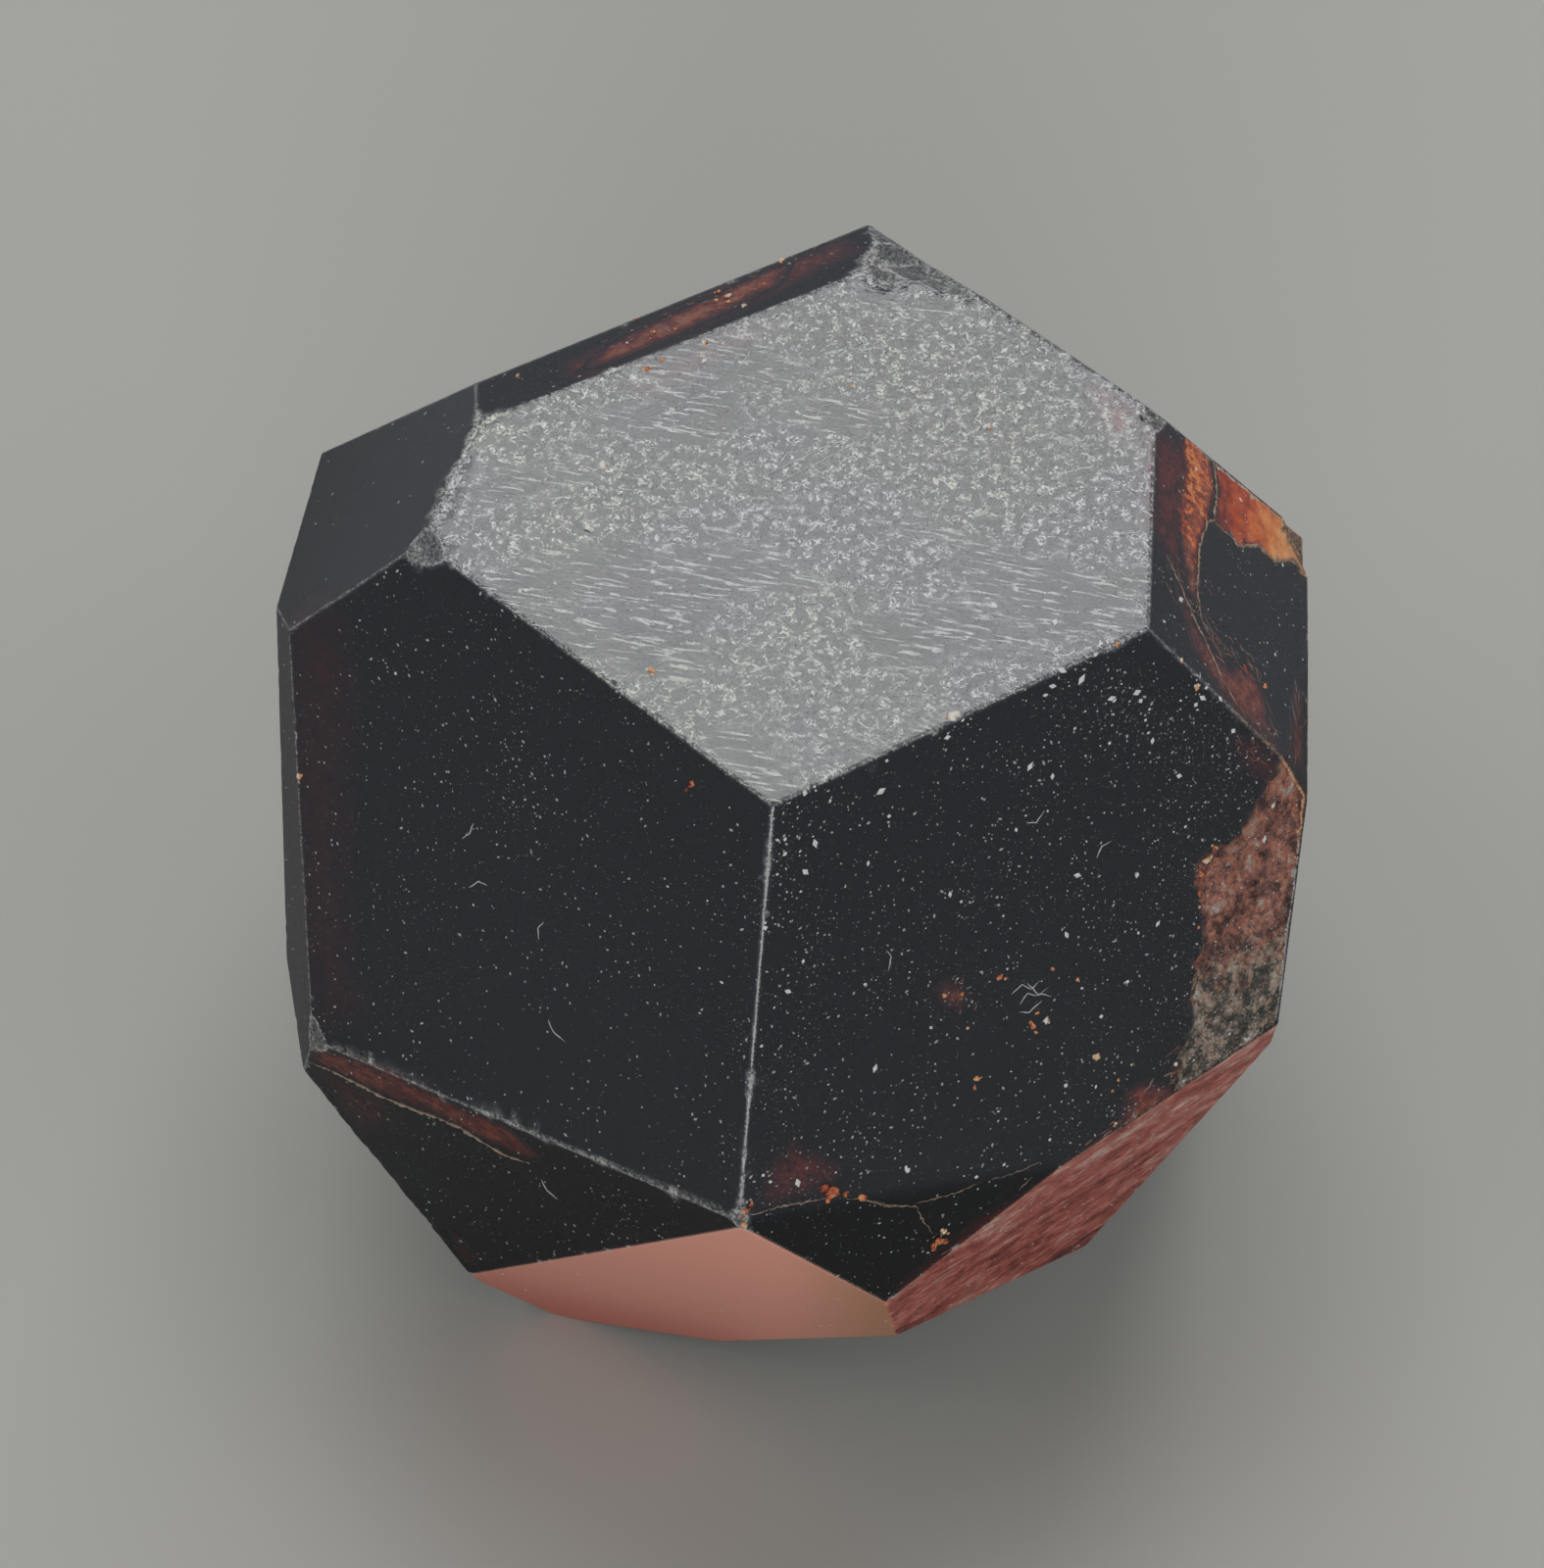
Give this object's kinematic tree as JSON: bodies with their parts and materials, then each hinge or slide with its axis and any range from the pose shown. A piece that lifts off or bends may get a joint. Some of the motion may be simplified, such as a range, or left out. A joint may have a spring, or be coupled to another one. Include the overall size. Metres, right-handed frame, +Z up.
{
  "type": "garnet crystal",
  "caption": "Dark red garnet crystal, a worn and partly polished rhombic dodecahedron with cut corners and bevelled edges, resting on one rhombic face.",
  "frame": {"origin": "on the surface the crystal rests on, under the middle of its bounding box", "axes": "+Z up out of the etched top face, +Y from the front corner between the two dark front faces to the back, +X to the right"},
  "size_m": [0.0398, 0.046, 0.0392],
  "materials": {
    "garnet": "polished",
    "inclusion": "matte",
    "dust": "matte"
  },
  "bodies": {
    "root": {"garnet_crystal": "garnet"}
  },
  "joints": []
}
